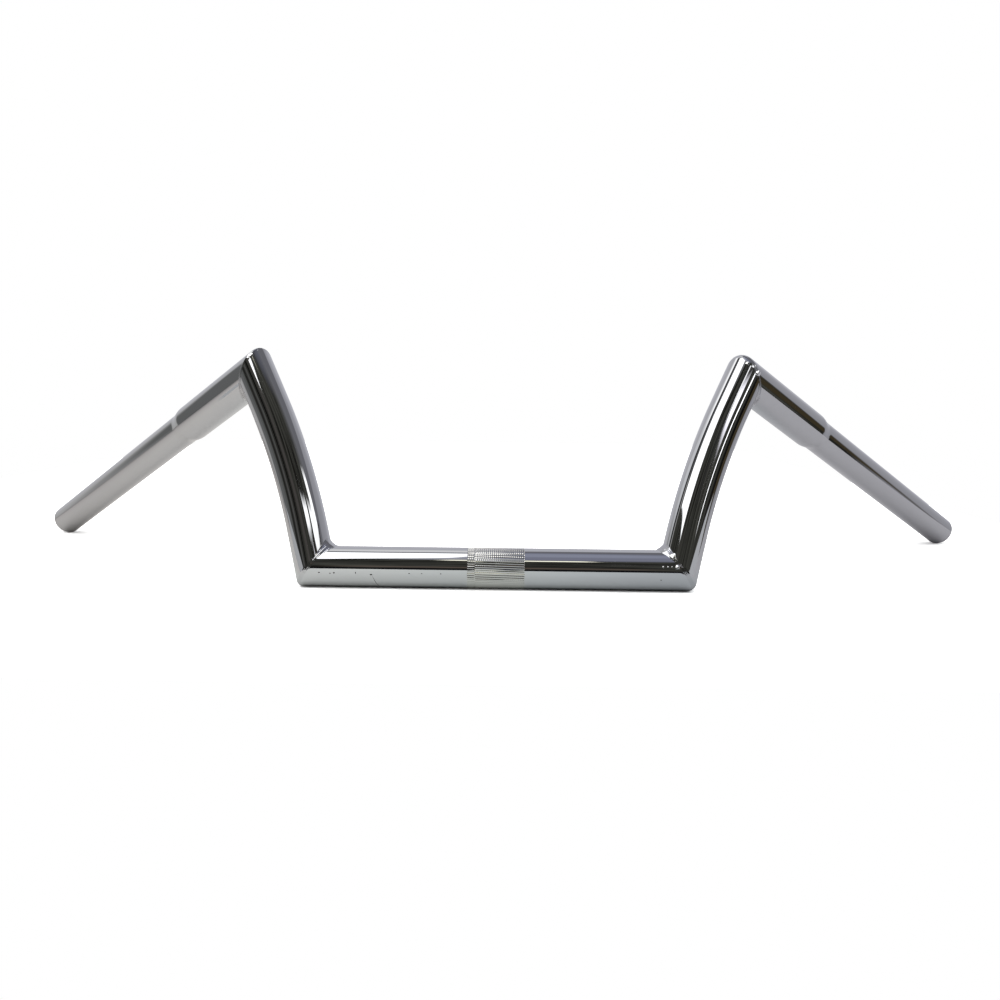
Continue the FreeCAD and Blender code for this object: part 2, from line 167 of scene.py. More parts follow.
class BarFinish(PropertyGroup):
    """Colours and finishes of the plating."""

    chrome: colour("Chrome", "Plate on the tubes", (0.60, 0.605, 0.62))
    weld: colour("Weld", "Plate over the dressed welds", (0.57, 0.575, 0.59))
    # paler than the chrome on the tubes: a painted highlight, so that the beads glint white
    spatter: colour("Spatter", "Plate over the beads of spatter", (0.92, 0.92, 0.92))
    knurl: colour("Knurl", "Plate on the knurled band", (0.63, 0.625, 0.6))
    bore: colour("Bore", "Unplated steel in the open grip ends", (0.16, 0.15, 0.14))
    pit: colour("Pit", "Pits and scratches in the plate", (0.05, 0.046, 0.04))
    polish: factor("Polish", "Roughness of the polished plate", 0.035)
    satin: factor("Satin", "Roughness of the knurled band", 0.03)
    waviness: length("Waviness", "Height of the waves left by polishing", 0.02)


class Studio(PropertyGroup):
    """Floor, light and the room that the plate reflects."""

    paper: colour("Paper", "Pale paper that the bar lies on", (0.60, 0.60, 0.597))
    room: colour("Room", "Dim room on the camera's side", (0.05, 0.05, 0.043))
    ambient: FloatProperty(name="Ambient", description="Level of the soft light all round",
                           default=0.98)
    paper_front: length("Paper front", "Front edge of the paper before the bar's axis", 200.0)
    paper_right: length("Paper right", "Right edge of the paper from the bar's middle", 465.0)
    paper_left: length("Paper left", "Left edge of the paper from the bar's middle", 640.0)
    paper_back: length("Paper back", "Reach of the paper behind the bar", 1600.0)
    lens: FloatProperty(name="Lens", description="Focal length", default=36.0, unit="CAMERA")
    camera_pitch: angle("Camera pitch", "Camera's look below the horizon", 6.411)
    camera_yaw: angle("Camera yaw", "Camera's turn to the right", -0.743)
    camera_roll: angle("Camera roll", "Camera's tilt about its own line of sight", 0.6245)
    camera_place: FloatVectorProperty(name="Camera place", description="Where the camera stands",
                                      default=(0.009728, -0.60271, 0.109706), size=3,
                                      subtype="TRANSLATION", unit="LENGTH", precision=5)


def unit(vector):
    """The vector at length one."""
    return vector / np.linalg.norm(vector)


def smooth_step(value):
    """0 below 0, 1 above 1, and 3t^2 - 2t^3 between."""
    t = np.clip(value, 0.0, 1.0)
    return t * t * (3.0 - 2.0 * t)


class Corner:
    """Where one tube runs into a mitre and the next leaves it.

    Through is the mitre plane's normal, outward points to the outer tip in that plane.
    """

    def __init__(self, point, along, onward, grind):
        self.point = point
        self.grind = grind
        self.along = along
        self.onward = onward
        self.through = unit(along + onward)
        self.outward = unit(along - onward)
        self.slope = math.tan(0.5 * math.acos(np.dot(along, onward)))

    def mirrored(self):
        """The same corner on the bar's left side."""
        turned_over = (part * LEFT_FLIP for part in (self.point, self.along, self.onward))
        return Corner(*turned_over, self.grind)


class Skeleton:
    """Corners and directions of one half of the bar, drawn on the right-hand side."""

    def __init__(self, sizes, side):
        outwards = np.array((1.0, 0.0, 0.0))
        upwards = np.array((0.0, math.sin(sizes.riser_lean), math.cos(sizes.riser_lean)))
        chord = math.atan2(sizes.riser_spread, sizes.riser_height)
        foot = chord - sizes.riser_bend / 2
        head = chord + sizes.riser_bend / 2
        self.riser_foot = outwards * math.sin(foot) + upwards * math.cos(foot)
        self.riser_head = outwards * math.sin(head) + upwards * math.cos(head)
        self.bend_side = outwards * math.cos(foot) - upwards * math.sin(foot)
        self.grip_axis = unit(np.array(MOUNTS["right_grip_seat"]["axis"]))
        lower = outwards * sizes.corner_half_span
        upper = lower + outwards * sizes.riser_spread + upwards * sizes.riser_height
        self.lower = Corner(lower, outwards, self.riser_foot, getattr(sizes, "grind_lower_" + side))
        self.upper = Corner(upper, self.riser_head, self.grip_axis, getattr(sizes, "grind_upper_" + side))


class StraightRun:
    """A straight tube axis: a point, a direction and two square directions around it."""

    def __init__(self, start, direction, first, reach=0.0):
        self.start = start
        self.direction = direction
        self.length = reach
        self.first = unit(first - np.dot(first, direction) * direction)
        self.second = np.cross(direction, self.first)

    def frame(self, along):
        """Axis points and the two directions around them at distances along the run."""
        along = along[..., None]
        return self.start + along * self.direction, self.first, self.second


class BentRun:
    """A riser's axis: straight, an arc of constant radius, straight again, all in one plane."""

    def __init__(self, sizes, skeleton):
        chord = math.hypot(sizes.riser_spread, sizes.riser_height)
        half = sizes.riser_bend / 2
        self.start = skeleton.lower.point
        self.direction = skeleton.riser_foot
        self.first = skeleton.bend_side
        self.second = np.cross(self.direction, self.first)
        self.straight = sizes.riser_straight
        self.bend = sizes.riser_bend
        self.radius = (chord - 2 * self.straight * math.cos(half)) / (2 * math.sin(half))
        self.length = 2 * self.straight + self.radius * self.bend

    def frame(self, along):
        """Axis points and directions: the arc turns by (along - straight) / radius, clipped."""
        along = along[..., None]
        turn = np.clip((along - self.straight) / self.radius, 0.0, self.bend)
        tangent = np.cos(turn) * self.direction + np.sin(turn) * self.first
        inner = np.cos(turn) * self.first - np.sin(turn) * self.direction
        arc = self.radius * (np.sin(turn) * self.direction + (1 - np.cos(turn)) * self.first)
        before = np.minimum(along, self.straight) * self.direction
        after = np.maximum(along - self.straight - self.radius * self.bend, 0.0) * tangent
        return self.start + before + arc + after, inner, self.second


def ground_tip(slope, grind, around, back):
    """Radius change near a corner's tip: -slope cos(around) (grind - back)^2 / (2 grind)."""
    left = np.clip(grind - back, 0.0, None)
    return -slope * np.clip(np.cos(around), 0.0, None) * left ** 2 / (2 * grind)


class MitreEnd:
    """A tube's mitred end, seen in the tube's own directions."""

    def __init__(self, corner, out_of_tube, first, second):
        tip = corner.outward - np.dot(corner.outward, out_of_tube) * out_of_tube
        self.slope = corner.slope
        self.grind = corner.grind
        self.tip_angle = math.atan2(np.dot(tip, second), np.dot(tip, first))

    def rows(self, sizes, theta, back):
        """Radius and reach past the corner point, for distances back from the seam.

        The mitre plane cuts the tube at slope * cos(angle from the tip) * radius.
        """
        around = theta[None, :] - self.tip_angle
        radius = sizes.tube_radius + ground_tip(self.slope, self.grind, around, back[:, None])
        seam = sizes.tube_radius + ground_tip(self.slope, self.grind, around, 0.0)
        return radius, self.slope * np.cos(around) * seam - back[:, None]


def plain_stations(first, last, radius, count):
    """Evenly spaced stations of one radius."""
    along = np.linspace(first, last, count)
    return np.stack((along, np.full(count, radius)), axis=1)


def tube_rows(run, sizes, stations, start, finish=None):
    """Rings of a tube: mitred start, (along, radius) stations, mitred finish if there is one.

    Every point is axis(along) + radius * (cos(theta) first + sin(theta) second).
    """
    theta = np.linspace(0.0, 2 * np.pi, AROUND, endpoint=False)
    radius, reach = start.rows(sizes, theta, MITRE_BACKS)
    alongs = [-reach, np.repeat(stations[:, :1], AROUND, axis=1)]
    radii = [radius, np.repeat(stations[:, 1:], AROUND, axis=1)]
    if finish is not None:
        radius, reach = finish.rows(sizes, theta, MITRE_BACKS[::-1])
        alongs.append(run.length + reach)
        radii.append(radius)
    along = np.concatenate(alongs)
    radius = np.concatenate(radii)
    centre, first, second = run.frame(along)
    spoke = np.cos(theta)[None, :, None] * first + np.sin(theta)[None, :, None] * second
    return centre + radius[..., None] * spoke, along


def ring_mesh(name, rows, along, closed_loop=False, crisp=32.0):
    """A closed mesh of rings: quads between them, flat caps at both ends or a closed loop.

    Edges that turn by more than crisp degrees stay sharp. The map has the distance along the tube
    and the distance around it, in metres.
    """
    count, across = rows.shape[:2]
    index = np.arange(count * across).reshape(count, across)
    following = np.roll(index, -1, axis=1)
    if closed_loop:
        low, high = slice(None), np.roll(np.arange(count), -1)
    else:
        low, high = slice(0, count - 1), np.arange(1, count)
    quads = np.stack((index[low], following[low], following[high], index[high]), axis=-1).reshape(-1, 4)
    faces = quads.tolist()
    if not closed_loop:
        faces += [index[0, ::-1].tolist(), index[-1].tolist()]
    mesh = bpy.data.meshes.new(name)
    mesh.from_pydata(rows.reshape(-1, 3), [], faces)

    turn = np.linspace(0.0, 1.0, across + 1)
    girth = np.linalg.norm(rows - np.roll(rows, -1, axis=1), axis=-1).sum(axis=1).max()
    wide_along = np.concatenate((along, along[:, :1]), axis=1)
    flat = np.stack((wide_along, np.broadcast_to(turn * girth, wide_along.shape)), axis=-1)
    corners = np.stack((flat[low, :-1], flat[low, 1:], flat[high, 1:], flat[high, :-1]), axis=2)
    corners = corners.reshape(-1, 2)
    if not closed_loop:
        caps = np.concatenate((flat[0, :-1][::-1], flat[-1, :-1]))
        corners = np.concatenate((corners, caps))
    layer = mesh.uv_layers.new(name="plate")
    layer.data.foreach_set("uv", corners.astype(np.float32).ravel())
    smooth = np.ones(len(mesh.polygons), dtype=bool)
    smooth[len(quads):] = False
    mesh.polygons.foreach_set("use_smooth", smooth)
    mesh.validate()
    if crisp:
        mesh.set_sharp_from_angle(angle=math.radians(crisp))
    mesh.update()
    return mesh


def link_object(name, data):
    """A new object in the scene for a mesh, a lamp or a camera."""
    item = bpy.data.objects.new(name, data)
    bpy.context.scene.collection.objects.link(item)
    return item


def place_piece(mesh, material, nodes):
    """Put a finished mesh into the scene in place of its solids."""
    mesh.materials.append(material)
    piece = link_object(mesh.name, mesh)
    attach(piece, "root")
    if nodes:
        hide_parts(*nodes)


def on_side(side, rows, along):
    """Right-hand rings as they are, or turned over for the left-hand side.

    For the left x is reversed, and the order around is reversed to keep faces outwards.
    """
    if side == "left":
        return rows[:, ::-1] * LEFT_FLIP, along[:, ::-1]
    return rows, along


class Value:
    """A shader socket that can be used in sums."""

    def __init__(self, board, socket):
        self.board = board
        self.socket = socket

    def math(self, operation, first, second=0.0, clamp=False):
        """The result of one operation on one or two values."""
        settings = {"operation": operation, "use_clamp": clamp}
        return self.board.add("ShaderNodeMath", settings, {0: first, 1: second})

    def __add__(self, other):
        return self.math("ADD", self, other)

    __radd__ = __add__

    def __sub__(self, other):
        return self.math("SUBTRACT", self, other)

    def __rsub__(self, other):
        return self.math("SUBTRACT", other, self)

    def __mul__(self, other):
        return self.math("MULTIPLY", self, other)

    def __truediv__(self, other):
        return self.math("DIVIDE", self, other)

    def __abs__(self):
        return self.math("ABSOLUTE", self)

    def __or__(self, other):
        """The larger of two masks."""
        return self.math("MAXIMUM", self, other)

    def clamped(self):
        """Held between 0 and 1."""
        return self.math("ADD", self, 0.0, clamp=True)


class Board:
    """A node tree that is wired by one method."""

    def __init__(self, tree):
        self.tree = tree
        tree.nodes.clear()

    def add(self, kind, settings=None, inputs=None, output=0):
        """Make a node: its settings first, then values or links for its sockets."""
        node = self.tree.nodes.new(kind)
        for name, value in (settings or {}).items():
            if name == "stops":
                self.set_stops(node.color_ramp, value)
            else:
                setattr(node, name, value)
        for key, value in (inputs or {}).items():
            socket = node.inputs[key]
            if isinstance(value, Value):
                self.tree.links.new(value.socket, socket)
            else:
                socket.default_value = value
        return Value(self, node.outputs[output]) if node.outputs else node

    @staticmethod
    def set_stops(ramp, stops):
        """Give a colour ramp its stops, each a position and a colour."""
        while len(ramp.elements) < len(stops):
            ramp.elements.new(1.0)
        for element, (position, rgb) in zip(ramp.elements, stops):
            element.position = position
            element.color = (*rgb, 1.0)

    def mix(self, mask, first, second):
        """One colour into another by a mask."""
        settings = {"data_type": "RGBA", "clamp_factor": True}
        return self.add("ShaderNodeMix", settings, {0: mask, 6: rgba(first), 7: rgba(second)}, 2)

    def noise(self, vector, scale, detail=2.0, roughness=0.5):
        """A noise value between 0 and 1."""
        inputs = {"Vector": vector, "Scale": scale, "Detail": detail, "Roughness": roughness}
        return self.add("ShaderNodeTexNoise", {"noise_dimensions": "3D"}, inputs)

    def stretched(self, vector, stretch):
        """A vector times a stretch in each direction."""
        return self.add("ShaderNodeVectorMath", {"operation": "MULTIPLY"}, {0: vector, 1: stretch})

    def parts(self, vector):
        """The three parts of a vector."""
        split = self.add("ShaderNodeSeparateXYZ", None, {0: vector})
        return tuple(Value(self, socket) for socket in split.socket.node.outputs)

    def ray(self, kind):
        """1 for light paths of one kind."""
        return self.add("ShaderNodeLightPath", None, None, f"Is {kind} Ray")


def rgba(value):
    """A colour for a colour socket; sockets pass unchanged."""
    return value if isinstance(value, Value) else (*value, 1.0)


def toned(rgb, brightness):
    """A colour made darker or brighter."""
    return [part * brightness for part in rgb]


def turned(u, v, degrees):
    """Two distances on a surface, measured in directions turned by an angle."""
    lean = math.radians(degrees)
    return u * math.cos(lean) + v * math.sin(lean), v * math.cos(lean) - u * math.sin(lean)


def plate_material(name):
    """A new material and its board."""
    material = bpy.data.materials.new(name)
    material.use_nodes = True
    return material, Board(material.node_tree)


def finish_metal(board, base, roughness, height, distance):
    """Metal shader from a base colour, a roughness and a bump height."""
    normal = board.add("ShaderNodeBump", None, {"Strength": 1.0, "Distance": distance, "Height": height})
    inputs = {"Base Color": base, "Metallic": 1.0, "Roughness": roughness, "Normal": normal}
    shader = board.add("ShaderNodeBsdfPrincipled", None, inputs)
    board.add("ShaderNodeOutputMaterial", None, {"Surface": shader})


PITS = (
    # along the centre tube and around it from the front downwards, half sizes, all in millimetres
    (4.8, 1.95, 0.75, 0.45),
    (11.4, 2.45, 0.7, 0.3),
    (13.8, 2.1, 0.6, 0.6),
    (26.8, 1.9, 0.35, 0.8),
    (36.1, 3.05, 0.9, 0.6),
    (59.0, 1.9, 0.6, 0.3),
    (66.5, 1.9, 0.6, 0.22),
    (78.0, 1.9, 0.45, 0.4),
    (210.0, 4.3, 0.5, 0.4),
)
# the same for a scratch, and its tilt in degrees
SCRATCH = (38.8, 10.0, 8.0, 0.2, 71.5)
# the pits on the left grip tube
GRIP_PITS = ((2.4, 57.9, 0.7, 0.6),)


def pit_mask(along, around, pits):
    """1 inside small ellipses on the plate, fading to 0 at their edges."""
    mask = None
    for place, turn, long_half, cross_half in pits:
        u = (along - place * MM) / (long_half * MM)
        v = (around - turn * MM) / (cross_half * MM)
        spot = (1.6 - (u * u + v * v) * 1.6).clamped()
        mask = spot if mask is None else mask | spot
    return mask


def scratch_mask(along, around, scratch):
    """1 along a hairline: a long thin ellipse turned on the plate."""
    place, turn, long_half, cross_half, tilt = scratch
    lengthwise, crosswise = turned(along - place * MM, around - turn * MM, tilt)
    u = lengthwise / (long_half * MM)
    v = crosswise / (cross_half * MM)
    return (1.2 - (u * u + v * v) * 1.2).clamped()


def chrome_material(name, finish, pits=(), scratch=None, bore_from=None):
    """Polished plate: faint draw marks along the tube, slow waves, small pits where listed."""
    material, board = plate_material(name)
    place = board.add("ShaderNodeUVMap", {"uv_map": "plate"})
    along, around, _ = board.parts(place)
    waves = board.noise(board.stretched(place, (14.0, 60.0, 1.0)), 1.0, 2.0)
    draw_marks = board.noise(board.stretched(place, (18.0, 2600.0, 1.0)), 1.0, 3.0, 0.6)
    bloom = board.noise(board.stretched(place, (45.0, 70.0, 1.0)), 1.0, 4.0, 0.6)
    base = board.mix(bloom * 0.16, finish.chrome, toned(finish.chrome, 0.72))
    roughness = finish.polish * 0.6 + bloom * finish.polish * 0.5 + draw_marks * finish.polish * 0.35
    height = waves + draw_marks * 0.012
    if pits:
        mask = pit_mask(along, around, pits)
        if scratch:
            mask = mask | scratch_mask(along, around, scratch) * 0.9
        base = board.mix(mask, base, finish.pit)
        roughness = roughness + mask * 0.4
        height = height - mask * 0.6
    if bore_from is not None:
        inside = ((along - bore_from) * 4000.0).clamped()
        base = board.mix(inside, base, finish.bore)
        roughness = roughness + inside * 0.42
    finish_metal(board, base, roughness, height, finish.waviness)
    return material


def weld_material(name, plate, finish):
    """Plate over a dressed weld: rippled along the seam and a little duller."""
    material, board = plate_material(name)
    place = board.add("ShaderNodeTexCoord", None, None, "Object")
    ripple = board.noise(place, 900.0, 3.0, 0.6)
    dull = board.noise(place, 320.0, 2.0)
    base = board.mix(dull * 0.3, plate, toned(plate, 0.6))
    finish_metal(board, base, dull * 0.06 + finish.polish * 0.7, ripple, finish.waviness * 0.4)
    return material


def knurl_material(name, finish):
    """Satin plate on the knurl: fine cross scuffs, and painted shade that darkens the grooves."""
    material, board = plate_material(name)
    place = board.add("ShaderNodeUVMap", {"uv_map": "plate"})
    # how deep a point lies in a groove; the plate is darkened there as painted shade
    depth = board.add("ShaderNodeAttribute", {"attribute_name": "groove"}, None, "Fac")
    scuffs = board.noise(board.stretched(place, (2600.0, 500.0, 1.0)), 1.0, 3.0, 0.6)
    patches = board.noise(board.stretched(place, (220.0, 260.0, 1.0)), 1.0, 2.0)
    bright = board.mix(patches * 0.35, finish.knurl, toned(finish.knurl, 0.7))
    base = board.mix(depth * 0.6, bright, toned(finish.knurl, 0.2))
    roughness = scuffs * 0.03 + patches * 0.03 + finish.satin
    finish_metal(board, base, roughness, scuffs, finish.waviness * 0.4)
    return material


def knurl_span(sizes):
    """First and last place of the knurled band on the tube, from its middle."""
    whole = sizes.knurl_narrow + sizes.knurl_land + sizes.knurl_wide
    return -whole / 2, whole / 2


class HANDLEBAR_OT_centre_tube(Operator):
    """Plate the centre tube, with a seat for the knurled band and mitred, ground ends."""

    bl_idname = "handlebar.centre_tube"
    bl_label = "Centre tube"

    def execute(self, context):
        sizes, finish = context.scene.bar_sizes, context.scene.bar_finish
        right = Skeleton(sizes, "right").lower
        left = Skeleton(sizes, "left").lower.mirrored()
        run = StraightRun(left.point, np.array((1.0, 0.0, 0.0)), np.array((0.0, -1.0, 0.0)),
                          2 * sizes.corner_half_span)
        start = MitreEnd(left, -run.direction, run.first, run.second)
        finish_end = MitreEnd(right, run.direction, run.first, run.second)
        low, high = knurl_span(sizes)
        seat = sizes.tube_radius - sizes.knurl_seat
        middle = sizes.corner_half_span
        stations = np.concatenate((
            plain_stations(CENTRE_CLEAR, middle + low, sizes.tube_radius, 14),
            np.array(((middle + low, seat), (middle + high, seat))),
            plain_stations(middle + high, run.length - CENTRE_CLEAR, sizes.tube_radius, 14),
        ))
        rows, along = tube_rows(run, sizes, stations, start, finish_end)
        mesh = ring_mesh("centre_tube_plate", rows, along)
        material = chrome_material("centre_tube_chrome", finish, PITS, SCRATCH)
        place_piece(mesh, material, ("centre_tube",))
        return {"FINISHED"}


def knurl_rows(sizes):
    """The knurled sleeve as rings along x.

    Across a tooth, s runs from -1 to 1. The crest is flat to |s| = KNURL_CREST and leans a little,
    each flank falls evenly to the depth at |s| = 1. Sines of the tooth's number make teeth differ.
    Cross marks of (1 - cos(2 pi x / pitch)) / 2 nick the crests. A shallow ring parts the two bands.
    """
    low, high = knurl_span(sizes)
    x = np.linspace(low, high, KNURL_RINGS)[:, None]
    across = sizes.knurl_teeth * KNURL_STEPS
    column = np.arange(across)[None, :]
    border = low + sizes.knurl_narrow
    narrow = x < border + sizes.knurl_land / 2
    phase = column / KNURL_STEPS + np.where(narrow, 0.5, 0.0)
    number = np.floor(phase + 0.5)
    s = 2 * (phase - number)
    flank = np.clip((np.abs(s) - KNURL_CREST) / (1 - KNURL_CREST), 0.0, 1.0)
    crest = 1 - flank
    uneven = np.sin(number * 12.9898 + np.where(narrow, 2.0, 0.0))
    lean = 0.4 * np.sin(number * 7.13 + 0.4 * np.sin(x / (7.0 * MM)))
    wander = 0.6 * np.sin(number * 4.1)
    cross = 0.5 - 0.5 * np.cos(2 * np.pi * x / sizes.knurl_cross + wander)
    strength = 0.04 + 0.2 * (0.5 + 0.5 * np.sin(number * 2.7 + 1.0))
    cut = flank * (0.9 + 0.1 * uneven) + crest * (0.12 + lean * s + 0.08 * uneven + cross * strength)
    rim = np.minimum(x - low, high - x)
    fade = smooth_step(rim / (0.15 * MM))
    land = 1.0 - smooth_step(np.abs(x - border - sizes.knurl_land / 2) / (0.3 * MM))
    cut = np.clip(cut, 0.0, 1.0) * fade * (1 - land) + 0.6 * land
    radius = sizes.tube_radius - sizes.knurl_depth * cut
    inner = np.full((2, across), sizes.tube_radius - sizes.knurl_seat * 1.2)
    radius = np.concatenate((radius, inner))
    along = np.concatenate((np.broadcast_to(x, (KNURL_RINGS, across)), np.full((1, across), high),
                            np.full((1, across), low)))
    theta = 2 * np.pi * column / across + along * math.tan(sizes.knurl_tilt) / sizes.tube_radius
    # how deep each point lies in a groove, used by the material for painted shade
    groove = np.concatenate((flank ** 3 * fade, np.ones((2, across))))
    ring = np.stack((along, -radius * np.cos(theta), -radius * np.sin(theta)), axis=-1)
    return ring, along, groove


class HANDLEBAR_OT_knurl(Operator):
    """Roll the knurled clamp band."""

    bl_idname = "handlebar.knurl"
    bl_label = "Knurled band"

    def execute(self, context):
        sizes, finish = context.scene.bar_sizes, context.scene.bar_finish
        rows, along, groove = knurl_rows(sizes)
        mesh = ring_mesh("clamp_knurl", rows, along, closed_loop=True, crisp=20.0)
        layer = mesh.attributes.new("groove", "FLOAT", "POINT")
        layer.data.foreach_set("value", groove.astype(np.float32).ravel())
        place_piece(mesh, knurl_material("knurl_satin", finish), ())
        return {"FINISHED"}


class HANDLEBAR_OT_risers(Operator):
    """Plate both bent risers, mitred and ground at their corners."""

    bl_idname = "handlebar.risers"
    bl_label = "Risers"

    def execute(self, context):
        sizes, finish = context.scene.bar_sizes, context.scene.bar_finish
        material = chrome_material("riser_chrome", finish)
        for side in ("right", "left"):
            skeleton = Skeleton(sizes, side)
            run = BentRun(sizes, skeleton)
            head_first = math.cos(run.bend) * run.first - math.sin(run.bend) * run.direction
            foot = MitreEnd(skeleton.lower, -run.direction, run.first, run.second)
            head = MitreEnd(skeleton.upper, skeleton.riser_head, head_first, run.second)
            stations = plain_stations(RISER_CLEAR, run.length - RISER_CLEAR, sizes.tube_radius, 40)
            rows, along = on_side(side, *tube_rows(run, sizes, stations, foot, head))
            mesh = ring_mesh(side + "_riser_plate", rows, along)
            place_piece(mesh, material, (side + "_riser",))
        return {"FINISHED"}


def grip_stations(sizes):
    """Turned profile of a grip tube past its mitre, as (along, radius).

    Plain tube, an S-shaped shoulder (3t^2 - 2t^3), the thinner end, a rounded rim, the end face
    and the bore.
    """
    wide, narrow, bore = sizes.tube_radius, sizes.grip_radius, sizes.grip_bore
    neck = sizes.swage_start + sizes.swage_length
    end, rim = sizes.grip_length, sizes.rim_round
    step = 1.0 * MM
    tube = plain_stations(GRIP_CLEAR, sizes.swage_start - step, wide, 12)
    t = np.linspace(0.0, 1.0, 25)
    shoulder = np.stack((sizes.swage_start + t * sizes.swage_length,
                         wide + (narrow - wide) * smooth_step(t)), axis=1)
    thin = plain_stations(neck + step, end - rim - step / 2, narrow, 40)
    turn = np.linspace(0.0, np.pi / 2, 9)
    rounded = np.stack((end - rim + rim * np.sin(turn), narrow - rim + rim * np.cos(turn)), axis=1)
    easing = 0.12 * MM
    mouth = np.array((
        (end, bore + 2 * easing),
        (end - 0.3 * easing, bore + 0.3 * easing),
        (end - 2 * easing, bore),
    ))
    inside = plain_stations(end - 3 * step, end - sizes.bore_depth, bore, 12)
    return np.concatenate((tube, shoulder, thin, rounded, mouth, inside))


class HANDLEBAR_OT_grip_tubes(Operator):
    """Plate both grip tubes: mitred, swaged to a thinner end, open at the rim."""

    bl_idname = "handlebar.grip_tubes"
    bl_label = "Grip tubes"

    def execute(self, context):
        sizes, finish = context.scene.bar_sizes, context.scene.bar_finish
        stations = grip_stations(sizes)
        steps = np.linalg.norm(np.diff(stations, axis=0), axis=1)
        walked = stations[0, 0] + np.concatenate((np.zeros(1), np.cumsum(steps)))
        dull_from = sizes.grip_length + RIM_WALK
        for side, pits in (("right", ()), ("left", GRIP_PITS)):
            skeleton = Skeleton(sizes, side)
            run = StraightRun(skeleton.upper.point, skeleton.grip_axis, np.array((0.0, 0.0, 1.0)))
            start = MitreEnd(skeleton.upper, -run.direction, run.first, run.second)
            rows, along = tube_rows(run, sizes, stations, start)
            along[-len(walked):] = walked[:, None]
            rows, along = on_side(side, rows, along)
            material = chrome_material(side + "_grip_chrome", finish, pits, bore_from=dull_from)
            mesh = ring_mesh(side + "_grip_plate", rows, along)
            place_piece(mesh, material, (side + "_grip_tube",))
        return {"FINISHED"}


WELDS = (
    # level, side, inside leg in millimetres, hollowness, seed of the unevenness
    ("lower", "right", 2.8, 0.3, 0.7),
    ("lower", "left", 4.2, 1.0, 2.1),
    ("upper", "right", 3.4, 0.8, 4.4),
    ("upper", "left", 3.4, 0.8, 5.3),
)


def weld_rows(sizes, corner, leg, hollow, seed):
    """A weld around a mitre as rings along the seam.

    At an angle from the tip and a distance u from the seam, the radius is the tube's radius, plus
    the ground tip, plus the fill of the inside corner (hollow blends slope (leg - u) into
    slope (leg - u)^2 / (2 leg)), plus a low ribbed bead that sinks at both edges. The second half
    of the section is the first one mirrored through the mitre plane.
    """
    around = np.linspace(0.0, 2 * np.pi, 2 * AROUND, endpoint=False)[:, None]
    share = np.linspace(-1.0, 1.0, SEAM_SECTION)[None, :]
    inside = np.clip(-np.cos(around), 0.0, None)
    half = sizes.weld_width + (leg - sizes.weld_width) * smooth_step(inside * 1.3 - 0.15)
    half = half * (1.0 + 0.06 * np.sin(5 * around + seed) + 0.04 * np.sin(13 * around + 2 * seed))
    u = np.abs(share) * half
    left = half - u
    fill = corner.slope * inside * ((1 - hollow) * left + hollow * left ** 2 / (2 * half))
    ribs = 0.5 + 0.5 * np.cos(2 * np.pi * u / sizes.weld_pitch + 0.8 * np.sin(3 * around + seed))
    uneven = 1.0 + 0.5 * np.sin(17 * around + seed) * np.sin(6 * around) + 0.3 * np.sin(41 * around)
    bead = sizes.weld_bead * ribs * (1 - share ** 2) * uneven
    sink = sizes.weld_sink * share ** 8
    radius = sizes.tube_radius + ground_tip(corner.slope, corner.grind, around, u) + fill + bead - sink
    middle = SEAM_SECTION // 2
    reach = corner.slope * np.cos(around) * radius[:, middle:middle + 1] - u
    under = radius[:, ::-1] - sizes.weld_root
    under_reach = corner.slope * np.cos(around) * under[:, middle:middle + 1] - 0.9 * u[:, ::-1]
    radius = np.concatenate((radius, under), axis=1)
    reach = np.concatenate((reach, under_reach), axis=1)
    second_half = np.concatenate((share > 0, share[:, ::-1] > 0), axis=1)

    axis = corner.along
    tip = unit(corner.outward - np.dot(corner.outward, axis) * axis)
    side = np.cross(axis, tip)
    spoke = np.cos(around)[..., None] * tip + np.sin(around)[..., None] * side
    offset = reach[..., None] * axis + radius[..., None] * spoke
    mirror = offset - 2 * (offset @ corner.through)[..., None] * corner.through
    rows = corner.point + np.where(second_half[..., None], mirror, offset)
    along = np.broadcast_to(around * sizes.tube_radius, rows.shape[:2])
    return rows, along


class HANDLEBAR_OT_welds(Operator):
    """Dress the four welds around the mitred corners."""

    bl_idname = "handlebar.welds"
    bl_label = "Welds"

    def execute(self, context):
        sizes, finish = context.scene.bar_sizes, context.scene.bar_finish
        material = weld_material("weld_chrome", finish.weld, finish)
        for level, side, leg, hollow, seed in WELDS:
            corner = getattr(Skeleton(sizes, side), level)
            rows, along = on_side(side, *weld_rows(sizes, corner, leg * MM, hollow, seed))
            mesh = ring_mesh(level + "_" + side + "_bead", rows, along, closed_loop=True, crisp=None)
            place_piece(mesh, material, (level + "_" + side + "_weld",))
        return {"FINISHED"}


LOWER_CROWN = (-0.355, -0.745, 0.56)
UPPER_LEFT_CROWN = (0.005, -0.885, 0.466)
SPATTER = (
    # a point on the plate, the direction that the crown faces, radius and height in millimetres
    ((100.0, -11.91, 4.34), LOWER_CROWN, 0.55, 0.12),
    ((102.9, -11.86, 4.37), LOWER_CROWN, 0.45, 0.1),
    ((105.3, -11.84, 4.38), LOWER_CROWN, 0.4, 0.1),
    ((108.3, -12.1, 4.52), LOWER_CROWN, 1.3, 0.25),
    ((105.9, -8.6, 10.4), (-0.367, -0.733, 0.573), 2.0, 0.3),
    ((155.6, 32.76, 126.5), (-0.452, -0.799, 0.395), 1.3, 0.25),
    ((162.15, 31.5, 120.96), (-0.474, -0.776, 0.417), 1.3, 0.2),
    ((-156.5, 33.0, 129.1), UPPER_LEFT_CROWN, 0.7, 0.1),
    ((-157.5, 32.4, 128.1), UPPER_LEFT_CROWN, 0.8, 0.1),
    ((-158.6, 31.85, 126.9), UPPER_LEFT_CROWN, 0.7, 0.1),
)


